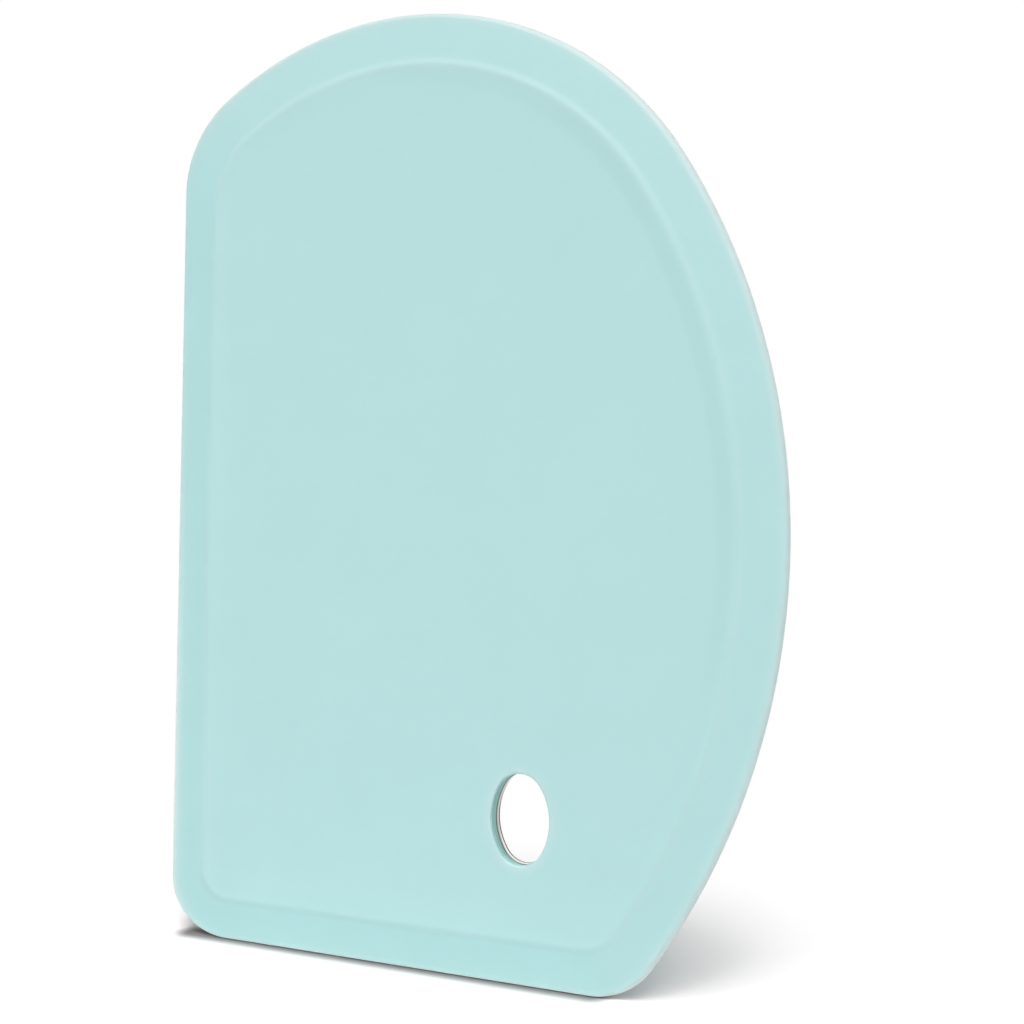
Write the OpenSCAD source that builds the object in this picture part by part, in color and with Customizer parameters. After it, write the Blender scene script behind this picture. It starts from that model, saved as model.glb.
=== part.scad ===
// Bowl scraper: a stiff steel plate moulded into one soft silicone cover.
// It stands on its short straight edge. X runs across the plate from the long straight edge,
// Z runs up it and its front face looks towards -Y. The origin is level with the bottom edge, under the
// middle of the overall width.

/* [Overall size] */
// Height from the short straight edge to the top of the crown
scraper_h = 150; // [140:1:160]
// Width from the long straight edge to the furthest point of the curve
scraper_w = 104; // [98:1:110]

/* [Outline] */
// Radius where the long straight edge turns into the curve
shoulder_r = 18; // [14:1:22]
// Degrees that the outline turns along the shoulder
shoulder_turn = 57; // [50:1:62]
// Degrees that it turns over the crown
crown_turn = 92; // [86:1:96]
// Degrees that it turns down the flank
flank_turn = 66; // [60:1:70]
// Radius where the flank meets the short straight edge
heel_r = 11.5; // [9:0.5:14]
// Radius between the two straight edges
toe_r = 9; // [9:0.5:11]

/* [Cross section] */
// Thickness of the flat panel
panel_t = 3.2; // [2.8:0.1:3.4]
// Thickness over the ridge that frames the panel
ridge_t = 3.6; // [3.4:0.1:4.6]
// Thickness of the rounded outer edge
edge_t = 2; // [1.4:0.1:2.6]
// Width of the tapered rim, from the outer edge to the middle of the ridge
rim_w = 7; // [5:0.5:7]
// Width of the ridge's narrow land
land_w = 0.6; // [0.4:0.1:0.8]
// Width of the slope from the ridge down to the panel
slope_w = 1.2; // [0.8:0.1:1.2]

/* [Steel core] */
// Thickness of the steel plate
core_t = 1.4; // [0.8:0.1:1.6]
// Gap between the middle of the ridge and the edge of the plate
core_margin = 1.2; // [1:0.1:1.6]
// How far the plate sits off centre in the cover, across it
core_shift_x = 0.5; // [-0.6:0.1:0.6]
// How far the plate sits off centre in the cover, up it
core_shift_z = 0.1; // [-0.6:0.1:0.6]

/* [Hanging hole] */
// Width of the oval hole
hole_w = 9.3; // [8:0.1:11]
// Height of the oval hole
hole_h = 13.5; // [12:0.5:15]
// Radius of the oval's two ends
hole_end_r = 3.8; // [3.6:0.1:3.9]
// Distance from the long straight edge to the middle of the hole
hole_x = 64.4; // [50:0.2:68]
// Height of the middle of the hole above the short straight edge
hole_z = 24.5; // [22:0.5:40]

/* [Hidden] */
$fn = 120;
past = 1;

// Travelling up the long edge and round the outline, the heading falls from 90 to -270 degrees.
crown_from = 90 - shoulder_turn;
flank_from = crown_from - crown_turn;
heel_from = flank_from - flank_turn;

// The crown and flank radii follow from the overall width and height: two linear equations,
// one for the reach across the plate and one for the drop from the top to the bottom edge.
across_crown = sin(crown_from) - sin(flank_from);
across_flank = sin(flank_from) + 1;
across = scraper_w - shoulder_r * (1 - sin(crown_from));
drop_crown = 1 - cos(flank_from);
drop_flank = cos(flank_from) - cos(heel_from);
drop = scraper_h - heel_r * (1 + cos(heel_from));
determinant = across_crown * drop_flank - across_flank * drop_crown;
crown_r = (across * drop_flank - across_flank * drop) / determinant;
flank_r = (across_crown * drop - across * drop_crown) / determinant;

// Where an arc that bends to the right ends, and where its centre lies
function arc_end(p, r, h0, h1) = p + r * [sin(h0) - sin(h1), cos(h1) - cos(h0)];
function arc_centre(p, r, h) = p + r * [sin(h), -cos(h)];

shoulder_y = scraper_h - shoulder_r * cos(crown_from) - crown_r * (1 - cos(crown_from));
shoulder_p = [0, shoulder_y];
crown_p = arc_end(shoulder_p, shoulder_r, 90, crown_from);
flank_p = arc_end(crown_p, crown_r, crown_from, flank_from);
heel_p = arc_end(flank_p, flank_r, flank_from, heel_from);
bottom_p = arc_end(heel_p, heel_r, heel_from, -180);
toe_p = [toe_r, 0];
left_p = [0, toe_r];

// Each arc: its centre, radius, first heading and last heading
arcs = [
    [arc_centre(shoulder_p, shoulder_r, 90), shoulder_r, 90, crown_from],
    [arc_centre(crown_p, crown_r, crown_from), crown_r, crown_from, flank_from],
    [arc_centre(flank_p, flank_r, flank_from), flank_r, flank_from, heel_from],
    [arc_centre(heel_p, heel_r, heel_from), heel_r, heel_from, -180],
    [arc_centre(toe_p, toe_r, -180), toe_r, -180, -270]
];

// Points along the whole outline, drawn in by inset, with so many steps on each arc
function inset_outline(inset, steps) = [
    for (arc = arcs, i = [0:steps])
        let (h = arc[2] + (arc[3] - arc[2]) * i / steps)
        arc[0] + max(arc[1] - inset, 0.1) * [-sin(h), cos(h)]
];

edge_r = edge_t / 2;
land_out = rim_w - land_w / 2;
land_in = rim_w + land_w / 2;
// The inner slope runs on under the panel's surface, so that the two faces cross.
slope_past = 1.25;
slope_end = ridge_t / 2 - slope_past * (ridge_t - panel_t) / 2;
band_w = land_in + slope_past * slope_w;

// The oval's side arcs are tangent to its end arcs.
oval_excess = (hole_h - hole_w) / 2;
end_at = hole_h / 2 - hole_end_r;
side_at = oval_excess * (2 * end_at - oval_excess) / (2 * (end_at - oval_excess));
side_r = hole_w / 2 + side_at;
oval_join = side_r * end_at / (side_r - hole_end_r);

// Stands the lying plate up on its short straight edge
module upright() {
    translate([-scraper_w / 2, 0, 0]) rotate([90, 0, 0]) children();
}

// Section through the rim and ridge: x is the distance outwards from the outer edge
module rim_section() {
    translate([-edge_r, 0]) circle(r = edge_r);
    polygon([
        [-edge_r, edge_r], [-land_out, ridge_t / 2], [-land_in, ridge_t / 2], [-band_w, slope_end],
        [-band_w, -slope_end], [-land_in, -ridge_t / 2], [-land_out, -ridge_t / 2], [-edge_r, -edge_r]
    ]);
}

// A move in whole microns and then the rest, so that neighbouring lengths of rim meet exactly
module place(p) {
    microns = [for (v = p) round(v * 1000) / 1000];
    translate(microns) translate(p - microns) children();
}

// Rim swept round one arc of the outline
module rim_arc(arc) {
    place(arc[0]) rotate_extrude(angle = arc[2] - arc[3], start = arc[3] + 90) place([arc[1], 0]) rim_section();
}

// Rim along a straight edge, from one end in the direction of a heading and cut square at the other end
module rim_straight(first, last, heading) {
    difference() {
        place(first) rotate([0, 0, heading + 90]) rotate([90, 0, 0]) linear_extrude(scraper_h) rim_section();
        place(last) rotate([0, 0, heading]) translate([0, -band_w - past, -ridge_t])
            cube([scraper_h, 2 * (band_w + past), 2 * ridge_t]);
    }
}

// Oval built from two side arcs and two end arcs, standing for a hole through the plate
module oval(depth) {
    translate([hole_x, hole_z, -depth / 2]) linear_extrude(depth) {
        intersection() {
            translate([-side_at, 0]) circle(r = side_r);
            translate([side_at, 0]) circle(r = side_r);
            square([2 * hole_w, 2 * oval_join], center = true);
        }
        for (side = [-1, 1]) translate([0, side * end_at]) circle(r = hole_end_r);
    }
}

// Steel plate in its lying position, inset from the outline on every side
module core_blank() {
    translate([core_shift_x, core_shift_z, 0]) difference() {
        translate([0, 0, -core_t / 2]) linear_extrude(core_t)
            polygon(inset_outline(rim_w + core_margin, 24));
        oval(core_t + 2 * past);
    }
}

// One-piece silicone cover, moulded round the plate and open only at the hanging hole
module silicone_cover() {
    color("#bbdfdf") upright() difference() {
        union() {
            for (arc = arcs) rim_arc(arc);
            rim_straight(left_p, shoulder_p, 90);
            rim_straight(bottom_p, toe_p, -180);
            translate([0, 0, -panel_t / 2]) linear_extrude(panel_t)
                polygon(inset_outline(rim_w + slope_w / 2, 6));
        }
        core_blank();
        oval(ridge_t + 2 * past);
    }
}

// Stiffening plate of stainless steel, whose edge shows inside the hanging hole
module steel_core() {
    color("#c8cacb") upright() core_blank();
}

silicone_cover();
steel_core();
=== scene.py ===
"""Bowl scraper: a steel plate moulded into a soft silicone cover, standing on its short straight edge.

Lengths are in millimetres until a mesh is made. x runs across the scraper, z up it, and the front looks
towards -y.
"""
import math

import bmesh
import bpy
from mathutils import Matrix, Vector


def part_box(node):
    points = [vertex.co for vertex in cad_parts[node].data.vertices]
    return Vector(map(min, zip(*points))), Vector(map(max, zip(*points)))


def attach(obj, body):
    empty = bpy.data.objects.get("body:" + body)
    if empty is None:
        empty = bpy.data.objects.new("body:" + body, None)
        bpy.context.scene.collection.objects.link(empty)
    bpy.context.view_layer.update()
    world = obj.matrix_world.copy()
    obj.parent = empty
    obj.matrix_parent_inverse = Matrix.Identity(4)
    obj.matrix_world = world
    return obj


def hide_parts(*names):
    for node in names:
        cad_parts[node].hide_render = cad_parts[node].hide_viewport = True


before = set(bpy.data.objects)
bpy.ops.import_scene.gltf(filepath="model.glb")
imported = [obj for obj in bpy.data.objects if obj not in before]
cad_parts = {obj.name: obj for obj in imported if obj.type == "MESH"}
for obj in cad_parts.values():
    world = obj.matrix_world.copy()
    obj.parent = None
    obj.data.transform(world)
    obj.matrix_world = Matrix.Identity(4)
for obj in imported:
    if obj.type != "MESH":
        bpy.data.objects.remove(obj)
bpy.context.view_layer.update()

MM = 0.001

# Outline: degrees that each stretch turns, and how many steps it is drawn in
LONG_SIDE, SHOULDER, CROWN, FLANK, HEEL, SHORT_SIDE, TOE = range(7)
TURNS = (0, 57, 92, 66, 55, 0, 90)
STEPS = (40, 26, 64, 60, 26, 26, 30)
SHOULDER_R, HEEL_R, TOE_R = 18.0, 11.5, 9.0
# The toe is this many times as wide as it is high.
TOE_WIDE = 1.27

# Crest of the ridge: how far it lies in from the long side, the curve, the bottom and the top, and its
# radii at the shoulder, heel and toe
RIDGE_FROM_SIDES = (7.5, 7.2, 7.15, 8.9)
RIDGE_RADII = (14.6, 5.9, 4.6)
# Lines further in keep at least this radius at their corners.
LEAST_RIDGE_R = 1.2

# Nose: the rounded outer edge, which ends where the taper begins
NOSE_HALF = 1.0
NOSE_DEPTH = 1.3
NOSE_TO = math.radians(80.5)
NOSE_STEPS = 10
# Along the bottom only this share of the nose's depth is left, as its edge is blunter there.
BLUNTED = 0.35
# How far the parting line of the mould stands proud of the nose
FLASH_WIDTH = 0.05

# Taper from the nose to the ridge: about how wide it is, and how far along it its rings lie
TAPER_WIDTH = 4.6
TAPER_PARTS = (0.06, 0.13, 0.22, 0.38, 0.56, 0.75, 0.9)

# Ridge and panel: half thicknesses, and widths from the crest inwards
RIDGE_HALF = 1.8
PANEL_HALF = 1.6
LAND_HALF = 0.15
INNER_SLOPE = 3.2
SLOPE_STEPS = 7
FLAT_MARGIN = 0.6
# Outer shoulder of the ridge: distance out from its crest and half thickness there
RIDGE_SHOULDER = ((1.3, 1.55), (1.05, 1.59), (0.8, 1.652), (0.55, 1.72), (0.35, 1.764), (0.15, 1.793))

# Hanging hole: the oval's size, its place from the long side and from the bottom, and its soft lip
HOLE_W, HOLE_H, HOLE_END_R = 9.3, 13.5, 3.8
HOLE_FROM_SIDE, HOLE_UP = 64.4, 24.5
SIDE_ARC_STEPS, END_ARC_STEPS = 22, 30
LIP_R = 0.35
LIP_STEPS = 8
# Height over which the wall of the hole darkens, from its middle down
DARKENS_OVER = 6.0
# Painted highlight, a pale halo round the hole's lip: distance out from the lip's round, and how pale it is
# there
HALO = ((1.4, 0.0), (1.0, 0.15), (0.7, 0.35), (0.4, 0.65), (0.2, 0.9), (0.0, 1.0))

# Steel plate, and the space for it in the cover
PLATE_INSET = 8.2
EDGE_BREAK = 0.07
SPACE_GAP = 0.01
SPACE_BREAK = 0.02

# An edge that turns by more than so many degrees is drawn sharp.
COVER_SHARP_FROM, PLATE_SHARP_FROM = 35, 50

# What the silicone's colour follows, kept on its vertices, all of it painted light and shade: pale highlight
# lines, the rim painted greener as shade, a dim shaded band inside the ridge, the shaded wall of the hole,
# and the greyish and the nearly white parts of the thin outer edge
TONES = ("painted_highlight", "shade_greener", "painted_shade_band", "deep", "painted_grey", "painted_glow")
# The ways, across and up, that the light comes from and that the flank faces, and how squarely a point has
# to face the flank before its painted dim band of shade begins and is full
TO_LIGHT, TO_FLANK = Vector((0.85, 0.5)), Vector((0.94, 0.34))
FLANK_BEGINS, FLANK_FULL = 0.72, 0.95
# Height at which the painted near-white glow of the long edge ends, and over which it fades in below that
WHITE_ENDS, WHITE_FADE = 112.5, 75.0
# Painted highlight, a pale line along the ridge: how pale, where from the crest on the lit side, how much
# further in on the shaded side, and how wide
LINE_PALE, LINE_AT, LINE_SHIFT, LINE_WIDTH = 0.65, -0.65, 1.55, 0.5
# Width of the second painted highlight on the shaded side, which lightens the shade on the ridge's outer
# shoulder
SHADED_LINE_WIDTH = 0.45
# Faint painted grey line on the ridge at the top, which tones down the highlight there
TOP_LINE_GREY, TOP_LINE_AT, TOP_LINE_WIDTH = 0.12, -0.3, 0.6
# How far in from the outer edge its greyish and its nearly white parts reach
GREY_REACH, WHITE_REACH = 0.85, 0.65
# A distance from the edge that its tones don't reach, and one from the crest that the ridge's don't
INSIDE, OFF_RIDGE = 9.0, -9.0

# Silicone: the body's colour, and what is laid over it where each tone is strong
SILICONE = "#b8dfdf"
LAID_OVER = (
    # The rim has no plate behind it, which makes it greener, and this is painted only on the side away from
    # the light, as painted shade.
    ("shade_greener", "#b4dfdf"),
    # Painted shade: inside the ridge, on the flank and along the bottom, a soft band is painted dimmer.
    ("painted_shade_band", "#b5dcdc"),
    # Painted highlight: lines beside the ridge's crest and a halo round the hole's lip are painted paler.
    ("painted_highlight", "#c1e0e1"),
    # The wall of the hole gets little light between the lip and the plate.
    ("deep", "#9fcac8"),
    # Painted light at the thin edge, standing in for light that shows through it: greyish, which also tones
    # down the highlight where the edge faces up, and nearly white.
    ("painted_grey", "#d7d7d7"),
    ("painted_glow", "#f4f8f7"),
)

# Light levels: the share of the scraper's light that comes from all round, and the floor's lift to white
AMBIENT = 0.07
FLOOR_LIFT = 1.25
# Painted contact shadow, where the floor's lift is cut: how far under the toe it goes on, how far from the
# edge it begins and ends to fade, and what is left of the floor's lift in it
UNDER_TOE = 6.8
CONTACT_FROM, CONTACT_TO = 0.9, 4.9
CONTACT_LIFT = 0.25
# How far from the standing edge the paper begins and ends to turn from a lit surface to pure white
WHITE_FROM, WHITE_TO = 20, 95

# Camera: its place in millimetres, its azimuth, elevation and roll in degrees, and its lens
CAMERA_AT = Vector((85.91, -172.99, 63.24))
CAMERA_TURNED = (-23.693, 2.136, 0.600)
CAMERA_LENS = 43.87


def millimetres(node):
    """A CAD node's box as two corners in millimetres."""
    low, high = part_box(node)
    return low / MM, high / MM


COVER_LOW, COVER_HIGH = millimetres("silicone_cover")
PLATE_LOW, PLATE_HIGH = millimetres("steel_core")


def bend(radius, start, now, wide=1.0):
    """The way along an arc that bends to the right, from one heading to another."""
    return radius * Vector((wide * (math.sin(start) - math.sin(now)), math.cos(now) - math.cos(start)))


def d_line(left, right, bottom, top, shoulder_r, heel_r, toe_r, toe_wide=1.0):
    """Points round a D that fills the box with these sides, clockwise from the foot of the long side.

    Every such line has the same stretches, turns and steps, so two of them lie point against point.
    """
    crown_from = math.radians(90 - TURNS[SHOULDER])
    flank_from = crown_from - math.radians(TURNS[CROWN])
    heel_from = flank_from - math.radians(TURNS[FLANK])
    # The crown and flank radii follow from the width and the height: two linear equations.
    reach = right - left - shoulder_r * (1 - math.sin(crown_from))
    drop = top - bottom - heel_r * (1 + math.cos(heel_from))
    per_radius = Matrix((
        (math.sin(crown_from) - math.sin(flank_from), math.sin(flank_from) + 1),
        (1 - math.cos(flank_from), math.cos(flank_from) - math.cos(heel_from)),
    ))
    crown_r, flank_r = per_radius.inverted() @ Vector((reach, drop))
    shoulder_z = top - shoulder_r * math.cos(crown_from) - crown_r * (1 - math.cos(crown_from))
    radii = {SHOULDER: shoulder_r, CROWN: crown_r, FLANK: flank_r, HEEL: heel_r, TOE: toe_r}
    straights = {LONG_SIDE: Vector((left, shoulder_z)), SHORT_SIDE: Vector((left + toe_r * toe_wide, bottom))}
    here = Vector((left, bottom + toe_r))
    heading = math.pi / 2
    points = []
    for stretch, steps in enumerate(STEPS):
        turn = math.radians(TURNS[stretch])
        if stretch in straights:
            points += [here.lerp(straights[stretch], step / steps) for step in range(steps)]
            here = straights[stretch]
        else:
            wide = toe_wide if stretch == TOE else 1.0
            radius = radii[stretch]
            points += [
                here + bend(radius, heading, heading - turn * step / steps, wide) for step in range(steps)]
            here = here + bend(radius, heading, heading - turn, wide)
        heading -= turn
    return points


def inside_cover(left, right, bottom, top, shoulder_r, heel_r, toe_r, toe_wide=1.0):
    """A D-line at these distances in from the four sides of the cover."""
    return d_line(
        COVER_LOW.x + left, COVER_HIGH.x - right, COVER_LOW.z + bottom, COVER_HIGH.z - top,
        shoulder_r, heel_r, toe_r, toe_wide)


def within_ridge(distance):
    """The D-line of the ridge's crest, or one this far inside it."""
    return inside_cover(
        *[side + distance for side in RIDGE_FROM_SIDES],
        *[max(radius - distance, LEAST_RIDGE_R) for radius in RIDGE_RADII])


def towards(line, goal, distance):
    """The line moved by a distance in millimetres towards another."""
    return [a + (b - a).normalized() * distance for a, b in zip(line, goal)]


def between(line, goal, part):
    """The line moved by a part of the way to another."""
    return [a.lerp(b, part) for a, b in zip(line, goal)]


def oval(grow, centre):
    """Points round the oval of the hanging hole, let out by some millimetres, clockwise from its right."""
    excess = (HOLE_H - HOLE_W) / 2
    end_at = HOLE_H / 2 - HOLE_END_R
    side_at = excess * (2 * end_at - excess) / (2 * (end_at - excess))
    side_r = HOLE_W / 2 + side_at
    join = math.atan2(end_at, side_at)
    # Each arc: its middle, radius, first angle, last angle and steps
    arcs = (
        (Vector((-side_at, 0)), side_r, join, -join, SIDE_ARC_STEPS),
        (Vector((0, -end_at)), HOLE_END_R, -join, join - math.pi, END_ARC_STEPS),
        (Vector((side_at, 0)), side_r, join - math.pi, -join - math.pi, SIDE_ARC_STEPS),
        (Vector((0, end_at)), HOLE_END_R, -join - math.pi, join - 2 * math.pi, END_ARC_STEPS),
    )
    points = []
    for middle, radius, first, last, steps in arcs:
        for step in range(steps):
            angle = first + (last - first) * step / steps
            points.append(centre + middle + (radius + grow) * Vector((math.cos(angle), math.sin(angle))))
    return points


def add_ring(bm, line, y):
    """Vertices of a line at a depth, in metres."""
    return [bm.verts.new((p.x * MM, y * MM, p.y * MM)) for p in line]


def skin(bm, rings):
    """Quads from each ring of vertices to the next."""
    for ring, following in zip(rings, rings[1:]):
        for i in range(len(ring)):
            j = (i + 1) % len(ring)
            bm.faces.new((ring[i], ring[j], following[j], following[i]))


def fill_between(bm, outer, inner):
    """Flat triangles between an outer and an inner ring at one depth."""
    edges = []
    for ring in (outer, inner):
        for i in range(len(ring)):
            pair = (ring[i], ring[(i + 1) % len(ring)])
            edges.append(bm.edges.get(pair) or bm.edges.new(pair))
    bmesh.ops.triangle_fill(bm, edges=edges, use_beauty=True, use_dissolve=False)


def finish_mesh(bm, name, sharp_from):
    """Object from a closed mesh, smooth except where it turns by more than so many degrees."""
    bmesh.ops.recalc_face_normals(bm, faces=bm.faces)
    mesh = bpy.data.meshes.new(name)
    bm.to_mesh(mesh)
    bm.free()
    mesh.shade_smooth()
    mesh.set_sharp_from_angle(angle=math.radians(sharp_from))
    piece = bpy.data.objects.new(name, mesh)
    bpy.context.scene.collection.objects.link(piece)
    return piece


def plate_solid(name, grow, edge_break):
    """The steel plate, or the space for it, let out all round by some millimetres."""
    low, high = PLATE_LOW, PLATE_HIGH
    half = (high.y - low.y) / 2 + grow
    # How far out the walls lie at each depth
    levels = (
        (grow - edge_break, -half), (grow, -half + edge_break), (grow, half - edge_break),
        (grow - edge_break, half))
    bm = bmesh.new()
    outer = []
    hole = []
    for out, y in levels:
        radii = [radius - PLATE_INSET + out for radius in (SHOULDER_R, HEEL_R, TOE_R)]
        outer.append(add_ring(bm, d_line(low.x - out, high.x + out, low.z - out, high.z + out, *radii), y))
        hole.append(add_ring(bm, oval(-out, HOLE_CENTRE + PLATE_SHIFT), y))
    skin(bm, outer)
    skin(bm, hole)
    fill_between(bm, outer[0], hole[0])
    fill_between(bm, outer[-1], hole[-1])
    return finish_mesh(bm, name, PLATE_SHARP_FROM)


HOLE_CENTRE = Vector((COVER_LOW.x + HOLE_FROM_SIDE, COVER_LOW.z + HOLE_UP))
PLATE_SHIFT = Vector((
    (PLATE_LOW.x + PLATE_HIGH.x) / 2 - (COVER_LOW.x + COVER_HIGH.x) / 2,
    (PLATE_LOW.z + PLATE_HIGH.z) / 2 - (COVER_LOW.z + COVER_HIGH.z) / 2))

OUTLINE = inside_cover(0, 0, 0, 0, SHOULDER_R, HEEL_R, TOE_R, TOE_WIDE)
RIDGE = within_ridge(0)
SLOPE_FOOT = within_ridge(INNER_SLOPE)
FLAT_FROM = within_ridge(INNER_SLOPE + FLAT_MARGIN)


def outward_ways(line):
    """The way outwards at each point of a clockwise line, as unit vectors."""
    ways = []
    for i, point in enumerate(line):
        along = (line[(i + 1) % len(line)] - line[i - 1]).normalized()
        ways.append(Vector((-along.y, along.x)))
    return ways


def clamped(value):
    """The value kept between 0 and 1."""
    return min(max(value, 0), 1)


# How much each point of the outline faces away from the light, towards the flank, down or up
OUTWARDS = outward_ways(OUTLINE)
SHADED = [clamped(-1.3 * way.dot(TO_LIGHT)) for way in OUTWARDS]
FLANKWARD = [
    clamped((way.dot(TO_FLANK) - FLANK_BEGINS) / (FLANK_FULL - FLANK_BEGINS)) for way in OUTWARDS]
FACES_DOWN = [max(-way.y, 0) ** 3 for way in OUTWARDS]
FACES_UP = [clamped(max(way.y, 0) + 0.2 * max(way.x, 0)) for way in OUTWARDS]
# Painted light at the thin edge, standing in for light that shows through it: greyish on the upper part,
# where it also tones down the highlight, and nearly white low on the long side, round the toe and along the
# bottom, where it lifts the shade.
LOW_LEFT = [
    max(-way.x, 0) * clamped((WHITE_ENDS - point.y) / WHITE_FADE) for way, point in zip(OUTWARDS, OUTLINE)]
GREYISH = [0.8 * clamped(way.y + 0.25) for way in OUTWARDS]
GLOW_SHARE = [
    clamped(0.3 * (1 - max(way.y, 0)) + 0.7 * left + 0.7 * max(-way.y, 0))
    for left, way in zip(LOW_LEFT, OUTWARDS)]


def line_tone(at, middle, width):
    """Strength of a soft line: 1 at its middle, and next to nothing twice its width away."""
    return math.exp(-((at - middle) / width) ** 2)


def edge_tone(from_edge, reach):
    """Strength of a tone of the outer edge: 1 at the edge, and fading inwards."""
    return math.exp(-(from_edge / reach) ** 1.5)


def ridge_pale(i, from_crest):
    """Painted highlight beside the ridge: one line on the lit side, and on the shaded side a second that
    lightens shade.
    """
    share = (1 - 0.45 * SHADED[i]) * (1 - FACES_DOWN[i]) * (1 - FACES_UP[i])
    first = share * line_tone(from_crest, LINE_AT + LINE_SHIFT * SHADED[i], LINE_WIDTH)
    return LINE_PALE * (first + SHADED[i] * line_tone(from_crest, LINE_AT, SHADED_LINE_WIDTH))


def edge_grey(i, from_crest, from_edge):
    """How strongly the silicone is painted greyish as light and shade: at the outer edge, further in on the
    left, and faintly on the ridge.
    """
    way = OUTWARDS[i]
    edge = GREYISH[i] * edge_tone(from_edge, GREY_REACH + 0.4 * max(-way.x, 0))
    return edge + TOP_LINE_GREY * max(way.y, 0) * line_tone(from_crest, TOP_LINE_AT, TOP_LINE_WIDTH)


def edge_white(i, from_edge):
    """How strongly the outer edge is painted nearly white as a glow, further in low on the left and along the
    bottom.
    """
    reach = WHITE_REACH + 0.45 * LOW_LEFT[i] + 0.2 * max(-OUTWARDS[i].y, 0)
    return GLOW_SHARE[i] * edge_tone(from_edge, reach)


def below_hole(z):
    """How far down the wall of the hole a height lies, from 0 at its middle to 1 near its foot."""
    return clamped((HOLE_CENTRE.y - z) / DARKENS_OVER)


def nose_line(depth):
    """The outline drawn in by a depth, and less along the bottom, where the nose is blunter."""
    blunt = towards(OUTLINE, RIDGE, BLUNTED * depth)
    return [p.lerp(q, share) for p, q, share in zip(towards(OUTLINE, RIDGE, depth), blunt, FACES_DOWN)]


def slope_fall(part):
    """Share of the fall from ridge to panel after a part of the slope's width: quick at first, then level."""
    return part * (2 - part) * (1 - part) + part * part * (3 - 2 * part) * part


def cover_half(bm, side, edge_ring):
    """Rings of one face of the cover from the nose's middle line to the wall of the hole."""
    painted_highlight, shade_greener, painted_shade_band, deep, painted_grey, painted_glow = (bm.verts.layers.float.get(name) for name in TONES)

    def ring(line, half, from_crest=None, halo=0.0, rim=0.0, band=0.0, sunk=0.0, from_edge=INSIDE):
        verts = add_ring(bm, line, side * half)
        for i, vert in enumerate(verts):
            # Painted highlight, shade, grey and glow for each vertex of the rim and the ridge
            if from_crest is not None:
                vert[painted_highlight] = ridge_pale(i, from_crest)
                vert[shade_greener] = rim * SHADED[i]
                vert[painted_shade_band] = band * max(FLANKWARD[i], 0.6 * FACES_DOWN[i])
                vert[painted_grey] = edge_grey(i, from_crest, from_edge)
                vert[painted_glow] = edge_white(i, from_edge)
            vert[painted_highlight] += halo
            vert[deep] = sunk * below_hole(line[i].y)
        return verts

    rings = [edge_ring]
    for step in range(1, NOSE_STEPS + 1):
        angle = NOSE_TO * step / NOSE_STEPS
        depth = FLASH_WIDTH + NOSE_DEPTH * (1 - math.cos(angle))
        nose_end = nose_line(depth)
        rings.append(ring(nose_end, NOSE_HALF * math.sin(angle), OFF_RIDGE, rim=1, from_edge=depth))
    nose_half = NOSE_HALF * math.sin(NOSE_TO)
    shoulder_foot = towards(RIDGE, OUTLINE, RIDGE_SHOULDER[0][0])
    for part in TAPER_PARTS:
        half = nose_half + (RIDGE_SHOULDER[0][1] - nose_half) * part
        rings.append(ring(
            between(nose_end, shoulder_foot, part), half, OFF_RIDGE, rim=1,
            from_edge=depth + TAPER_WIDTH * part))
    for distance, half in RIDGE_SHOULDER:
        rings.append(ring(towards(RIDGE, OUTLINE, distance), half, -distance, rim=0.5 + distance))
    land_end = towards(RIDGE, SLOPE_FOOT, LAND_HALF)
    rings.append(ring(land_end, RIDGE_HALF, LAND_HALF, rim=0.3))
    for step in range(1, SLOPE_STEPS + 1):
        part = step / SLOPE_STEPS
        half = RIDGE_HALF + (PANEL_HALF - RIDGE_HALF) * slope_fall(part)
        band = min(part * 4, 1, (1 - part) * 3)
        rings.append(ring(between(land_end, SLOPE_FOOT, part), half, INNER_SLOPE * part, band=band))
    rings.append(ring(FLAT_FROM, PANEL_HALF))
    skin(bm, rings)
    lip = [ring(oval(LIP_R + out, HOLE_CENTRE), PANEL_HALF, halo=halo) for out, halo in HALO]
    for step in range(1, LIP_STEPS + 1):
        part = step / LIP_STEPS
        angle = math.radians(90 * part)
        lip.append(ring(
            oval(LIP_R * (1 - math.sin(angle)), HOLE_CENTRE), PANEL_HALF - LIP_R * (1 - math.cos(angle)),
            halo=1 - part, sunk=part ** 4))
    skin(bm, lip)
    fill_between(bm, rings[-1], lip[0])
    return lip[-1]


def silicone_cover():
    """One moulding round the plate: rounded nose, tapered rim, ridge, flat panels and the hanging hole."""
    bm = bmesh.new()
    for name in TONES:
        bm.verts.layers.float.new(name)
    layers = bm.verts.layers.float
    edge_ring = add_ring(bm, OUTLINE, 0)
    # The very edge gets the painted grey and the painted near-white glow in full.
    for vert, grey, share in zip(edge_ring, GREYISH, GLOW_SHARE):
        vert[layers.get("painted_grey")] = grey
        vert[layers.get("painted_glow")] = share
    front = cover_half(bm, -1, edge_ring)
    back = cover_half(bm, 1, edge_ring)
    middle = add_ring(bm, oval(0, HOLE_CENTRE), 0)
    for vert in middle:
        vert[layers.get("deep")] = below_hole(vert.co.z / MM)
    skin(bm, [front, middle, back])
    cover = finish_mesh(bm, "silicone_blade", COVER_SHARP_FROM)
    space = plate_solid("plate_space", SPACE_GAP, SPACE_BREAK)
    cut = cover.modifiers.new("cavity", "BOOLEAN")
    cut.operation = "DIFFERENCE"
    cut.solver = "EXACT"
    cut.object = space
    bpy.context.view_layer.update()
    hollow = bpy.data.meshes.new_from_object(cover.evaluated_get(bpy.context.evaluated_depsgraph_get()))
    cover.modifiers.clear()
    cover.data = hollow
    bpy.data.objects.remove(space)
    hollow.shade_smooth()
    hollow.set_sharp_from_angle(angle=math.radians(COVER_SHARP_FROM))
    return cover


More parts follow.
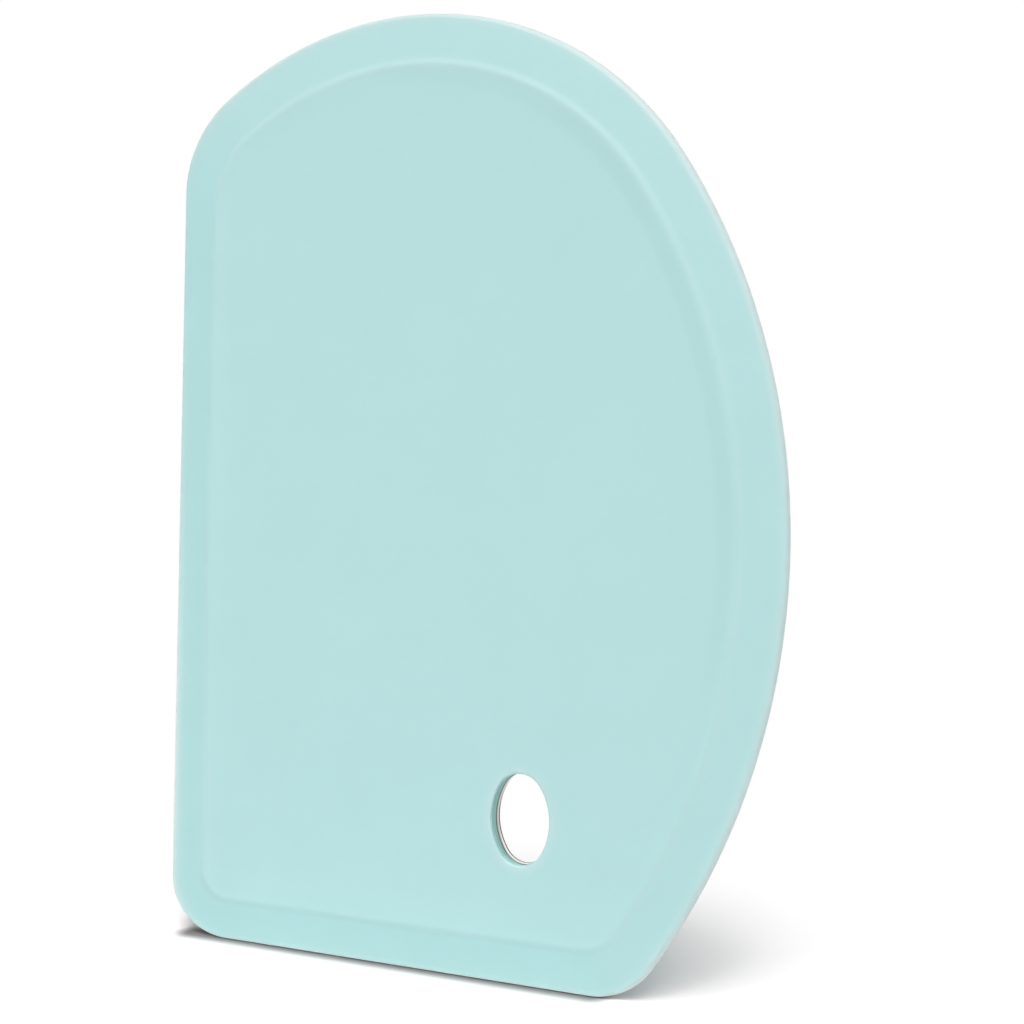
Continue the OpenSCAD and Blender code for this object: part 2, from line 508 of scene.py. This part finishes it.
def linear(code):
    """An sRGB hex colour as linear RGBA."""
    parts = [int(code[i:i + 2], 16) / 255 for i in (1, 3, 5)]
    return tuple(c / 12.92 if c <= 0.04045 else ((c + 0.055) / 1.055) ** 2.4 for c in parts) + (1.0,)


def add_node(tree, kind, inputs=None, links=None, **settings):
    """Adds a node, with its settings, its sockets' values, and links into its sockets."""
    node = tree.nodes.new(kind)
    for name, value in settings.items():
        setattr(node, name, value)
    for socket, value in (inputs or {}).items():
        node.inputs[socket].default_value = value
    for socket, source in (links or {}).items():
        tree.links.new(source, node.inputs[socket])
    return node


def new_material(name):
    """An empty node material and its tree."""
    material = bpy.data.materials.new(name)
    material.use_nodes = True
    material.node_tree.nodes.clear()
    return material, material.node_tree


def ramp(tree, value, start=0.0, end=1.0, low=0.0, high=1.0, kind="LINEAR"):
    """A value taken from one range to another, and held at both ends."""
    return add_node(
        tree, "ShaderNodeMapRange", {"From Min": start, "From Max": end, "To Min": low, "To Max": high},
        {"Value": value}, interpolation_type=kind).outputs[0]


def maths(tree, operation, *parts, kind="ShaderNodeMath"):
    """A maths node's outputs for parts that are each an output or a plain value."""
    plain = {i: part for i, part in enumerate(parts) if isinstance(part, (float, tuple))}
    linked = {i: part for i, part in enumerate(parts) if i not in plain}
    return add_node(tree, kind, plain, linked, operation=operation).outputs


def vectors(tree, operation, *parts):
    """A vector maths node's outputs for parts that are each an output or a plain value."""
    return maths(tree, operation, *parts, kind="ShaderNodeVectorMath")


def tinted(tree, share, under, over):
    """A colour mixed by a share from one to the other, each of them a hex value or an output."""
    plain = {name: linear(code) for name, code in (("A", under), ("B", over)) if isinstance(code, str)}
    linked = {name: colour for name, colour in (("A", under), ("B", over)) if name not in plain}
    return add_node(
        tree, "ShaderNodeMix", plain, {"Factor": share, **linked}, data_type="RGBA").outputs["Result"]


def noise(tree, place, detail, sizes):
    """Noise whose features are about so many millimetres long along x, y and z."""
    scale = tuple(1 / (size * MM) for size in sizes)
    spread = add_node(tree, "ShaderNodeMapping", {"Scale": scale}, {"Vector": place}).outputs[0]
    return add_node(
        tree, "ShaderNodeTexNoise", {"Scale": 1.0, "Detail": detail}, {"Vector": spread}).outputs["Fac"]


def raised(tree, height, strength, distance):
    """A bumped normal, with its full height in millimetres."""
    return add_node(
        tree, "ShaderNodeBump", {"Strength": strength, "Distance": distance * MM},
        {"Height": height}).outputs["Normal"]


def blend(tree, share, first, second):
    """A node that mixes two shader nodes by a share."""
    links = {0: share, 1: first.outputs[0], 2: second.outputs[0]}
    return add_node(tree, "ShaderNodeMixShader", links=links)


def seen_by(tree, *rays):
    """1 for rays of any of these kinds, and 0 for the rest."""
    path = add_node(tree, "ShaderNodeLightPath").outputs
    found = path[rays[0]]
    for ray in rays[1:]:
        found = maths(tree, "MAXIMUM", found, path[ray])["Value"]
    return found


def moulded_silicone():
    """Platinum-cured silicone from a bead-blasted mould: milky, dead matte, painted paler at its thinnest
    edge as a glow.
    """
    material, tree = new_material("moulded_silicone")
    place = add_node(tree, "ShaderNodeTexCoord").outputs["Object"]
    tones = {
        name: add_node(tree, "ShaderNodeAttribute", attribute_name=name).outputs["Fac"] for name in TONES}
    colour = SILICONE
    for name, code in LAID_OVER:
        colour = tinted(tree, tones[name], colour, code)
    # Light is carried furthest through the thin edge.
    carried = ramp(tree, tones["painted_glow"], low=0.12, high=0.9)
    # Grain of the blasted mould, about 0.25 mm, and a slow unevenness of the cured rubber, about 12 mm
    grain = noise(tree, place, 2.0, (0.25, 0.25, 0.25))
    slow = ramp(tree, noise(tree, place, 1.0, (12, 12, 12)), low=0.985, high=1.015)
    uneven = add_node(
        tree, "ShaderNodeMix", {"Factor": 1.0}, {"A": colour, "B": slow}, data_type="RGBA",
        blend_type="MULTIPLY").outputs["Result"]
    silicone = add_node(
        tree, "ShaderNodeBsdfPrincipled",
        {"Roughness": 0.5, "IOR": 1.41, "Subsurface Radius": (1.0, 1.3, 1.3), "Subsurface Scale": 1.2 * MM},
        {"Base Color": uneven, "Subsurface Weight": carried, "Normal": raised(tree, grain, 0.25, 0.01)})
    add_node(tree, "ShaderNodeOutputMaterial", links={"Surface": silicone.outputs[0]})
    return material


def satin_stainless():
    """Cold-rolled stainless sheet with a satin finish: grey-white, softly mirrored, with fine lines."""
    material, tree = new_material("satin_stainless")
    place = add_node(tree, "ShaderNodeTexCoord").outputs["Object"]
    # Rolling lines, 0.12 mm apart and 8 mm long, which don't change through the sheet
    lines = noise(tree, place, 3.0, (0.12, 1000, 8))
    # Painted shade: the face round the hole lies in the hole's recess and is painted a dull teal grey, like
    # the silicone wall it faces.
    hole = (HOLE_CENTRE.x * MM, 0, HOLE_CENTRE.y * MM)
    from_hole = vectors(tree, "DISTANCE", place, hole)["Value"]
    painted_recess_shade = ramp(tree, from_hole, 8.0 * MM, 8.8 * MM, 1.0, 0.0)
    steel = add_node(
        tree, "ShaderNodeBsdfPrincipled", {"Metallic": 1.0},
        {"Base Color": tinted(tree, painted_recess_shade, "#c9c8c5", "#88adaa"),
         "Roughness": ramp(tree, lines, low=0.24, high=0.38), "Normal": raised(tree, lines, 0.2, 0.004)})
    add_node(tree, "ShaderNodeOutputMaterial", links={"Surface": steel.outputs[0]})
    return material


def sheared_stainless():
    """Punched edge of the sheet: painted dark at the front as shade under the silicone, then bright, then a
    dull brownish torn zone.
    """
    material, tree = new_material("sheared_stainless")
    place = add_node(tree, "ShaderNodeTexCoord").outputs["Object"]
    depth = add_node(tree, "ShaderNodeSeparateXYZ", links={"Vector": place}).outputs["Y"]
    # Drag marks of the punch run through the sheet, about 0.3 mm apart, and its zones wander with them.
    drags = noise(tree, place, 2.0, (0.3, 3, 0.3))
    wander = ramp(tree, drags, low=-0.08 * MM, high=0.08 * MM)
    at = maths(tree, "ADD", depth, wander)["Value"]
    # The torn zone is deep where the edge faces up, on the lower side of the hole, and fades out on the
    # upper.
    normal = add_node(tree, "ShaderNodeNewGeometry").outputs["Normal"]
    facing_up = add_node(tree, "ShaderNodeSeparateXYZ", links={"Vector": normal}).outputs["Z"]
    above = ramp(tree, facing_up, -0.5, -0.1)
    behind = ramp(tree, at, 0.2 * MM, 0.32 * MM)
    torn = maths(tree, "MULTIPLY", behind, above)["Value"]
    # Painted shade: the front of the edge, under the silicone wall, is painted a dark teal grey.
    painted_recess_shade = ramp(tree, at, -0.7 * MM, -0.1 * MM, 1.0, 0.0, "SMOOTHSTEP")
    cut = tinted(tree, painted_recess_shade, "#c6c6c2", "#66716f")
    steel = add_node(
        tree, "ShaderNodeBsdfPrincipled", {"Metallic": 1.0},
        {"Base Color": tinted(tree, torn, cut, "#544a44"),
         "Roughness": ramp(tree, torn, low=0.28, high=0.6), "Normal": raised(tree, drags, 0.4, 0.02)})
    add_node(tree, "ShaderNodeOutputMaterial", links={"Surface": steel.outputs[0]})
    return material


def white_paper():
    """Seamless white paper: reads as pure white, takes the shadow close to the scraper, and has a painted
    contact shadow.
    """
    material, tree = new_material("white_paper")
    place = add_node(tree, "ShaderNodeTexCoord").outputs["Object"]
    # Distance from the edge that the scraper stands on, taken on a little way under the toe
    first = (OUTLINE[-STEPS[TOE]].x - UNDER_TOE) * MM
    last = OUTLINE[-STEPS[TOE] - STEPS[SHORT_SIDE]].x * MM
    centred = vectors(tree, "SUBTRACT", place, ((first + last) / 2, 0, 0))["Vector"]
    along = vectors(tree, "ABSOLUTE", centred)["Vector"]
    past_ends = vectors(tree, "SUBTRACT", along, (abs(last - first) / 2, 0, 0))["Vector"]
    clear = vectors(tree, "MAXIMUM", past_ends, (0, 0, 0))["Vector"]
    away = vectors(tree, "LENGTH", clear)["Value"]
    near = ramp(tree, away, WHITE_FROM * MM, WHITE_TO * MM, 1.0, 0.0, "SMOOTHSTEP")
    # Painted contact shadow: the lift fades out right beside that edge, which darkens the line of contact
    # beyond its own shade.
    lift = ramp(tree, away, CONTACT_FROM * MM, CONTACT_TO * MM, CONTACT_LIFT, FLOOR_LIFT, "SMOOTHSTEP")
    # The bounce from the aqua cover tints the shadow, and a little more red keeps it a plain grey.
    warmer = maths(tree, "MULTIPLY", lift, 1.04)["Value"]
    lifted = add_node(tree, "ShaderNodeCombineColor", links={"Red": warmer, "Green": lift, "Blue": lift})
    matte = add_node(tree, "ShaderNodeBsdfDiffuse", links={"Color": lifted.outputs[0]})
    plain = add_node(tree, "ShaderNodeBsdfDiffuse", {"Color": linear("#ececec")})
    white = add_node(tree, "ShaderNodeEmission", {"Color": linear("#ffffff"), "Strength": 1.0})
    shadowed = blend(tree, near, white, matte)
    others = blend(tree, seen_by(tree, "Is Glossy Ray", "Is Transmission Ray"), plain, white)
    surface = blend(tree, seen_by(tree, "Is Camera Ray"), others, shadowed)
    add_node(tree, "ShaderNodeOutputMaterial", links={"Surface": surface.outputs[0]})
    return material


def white_room():
    """World that is plain white to the eye and in reflections, and an even soft light on the object."""
    world = bpy.data.worlds.new("white_room")
    world.use_nodes = True
    tree = world.node_tree
    tree.nodes.clear()
    seen = seen_by(tree, "Is Camera Ray", "Is Glossy Ray", "Is Transmission Ray")
    soft = add_node(tree, "ShaderNodeBackground", {"Color": linear("#ffffff"), "Strength": AMBIENT})
    white = add_node(tree, "ShaderNodeBackground", {"Color": linear("#ffffff"), "Strength": 1.0})
    room = blend(tree, seen, soft, white)
    add_node(tree, "ShaderNodeOutputWorld", links={"Surface": room.outputs[0]})
    bpy.context.scene.world = world


def add_sun(name, azimuth, elevation, strength, spread):
    """Sun lamp that comes from an azimuth, right of straight ahead of the front, and an elevation."""
    lamp = bpy.data.lights.new(name, "SUN")
    lamp.energy = strength
    lamp.angle = math.radians(spread)
    sun = bpy.data.objects.new(name, lamp)
    bpy.context.scene.collection.objects.link(sun)
    a, e = math.radians(azimuth), math.radians(elevation)
    source = Vector((math.sin(a) * math.cos(e), -math.cos(a) * math.cos(e), math.sin(e)))
    sun.rotation_euler = source.to_track_quat("Z", "Y").to_euler()


def add_strip(name, azimuth, distance, low, high, width, power):
    """Tall strip lamp that stands upright at a distance and faces the scraper. Lengths here are in metres."""
    lamp = bpy.data.lights.new(name, "AREA")
    lamp.shape = "RECTANGLE"
    lamp.size = width
    lamp.size_y = high - low
    lamp.energy = power
    strip = bpy.data.objects.new(name, lamp)
    bpy.context.scene.collection.objects.link(strip)
    a = math.radians(azimuth)
    strip.location = (math.sin(a) * distance, -math.cos(a) * distance, (low + high) / 2)
    strip.rotation_euler = (math.pi / 2, 0, a)


def add_camera():
    """Camera a hand's length in front and to the right, just under half the scraper's height."""
    camera = bpy.data.objects.new("camera", bpy.data.cameras.new("camera"))
    bpy.context.scene.collection.objects.link(camera)
    azimuth, elevation, roll = (math.radians(angle) for angle in CAMERA_TURNED)
    ahead = Vector((
        math.sin(azimuth) * math.cos(elevation), math.cos(azimuth) * math.cos(elevation),
        math.sin(elevation)))
    level = Vector((math.cos(azimuth), -math.sin(azimuth), 0))
    upright = level.cross(ahead)
    right = level * math.cos(roll) + upright * math.sin(roll)
    up = upright * math.cos(roll) - level * math.sin(roll)
    turn = Matrix((right, up, -ahead)).transposed()
    camera.matrix_world = Matrix.Translation(CAMERA_AT * MM) @ turn.to_4x4()
    camera.data.sensor_width = 36.0
    camera.data.lens = CAMERA_LENS
    camera.data.clip_start = 0.005
    bpy.context.scene.camera = camera


def floor():
    """Round sheet of paper under the scraper."""
    bm = bmesh.new()
    bmesh.ops.create_circle(bm, cap_ends=True, segments=96, radius=4.0)
    paper = finish_mesh(bm, "paper_floor", 30)
    if paper.data.polygons[0].normal.z < 0:
        paper.data.flip_normals()
    paper.data.materials.append(white_paper())


cover = silicone_cover()
cover.data.materials.clear()
cover.data.materials.append(moulded_silicone())
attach(cover, "root")
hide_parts("silicone_cover")

plate = plate_solid("steel_plate", 0, EDGE_BREAK)
plate.data.materials.append(satin_stainless())
plate.data.materials.append(sheared_stainless())
for face in plate.data.polygons:
    if abs(face.normal.y) < 0.9:
        face.material_index = 1
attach(plate, "root")
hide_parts("steel_core")

floor()
white_room()
add_sun("front_light", 0, 60, 1.34, 30)
add_sun("key_light", 34, 50, 1.2, 30)
add_sun("top_light", 60, 80, 0.46, 30)
add_sun("back_light", 180, 16, 0.6, 60)
add_strip("low_strip", -24, 2.0, 0.1, 0.4, 0.1, 4.4)
add_camera()

bpy.context.scene.view_settings.view_transform = "Standard"
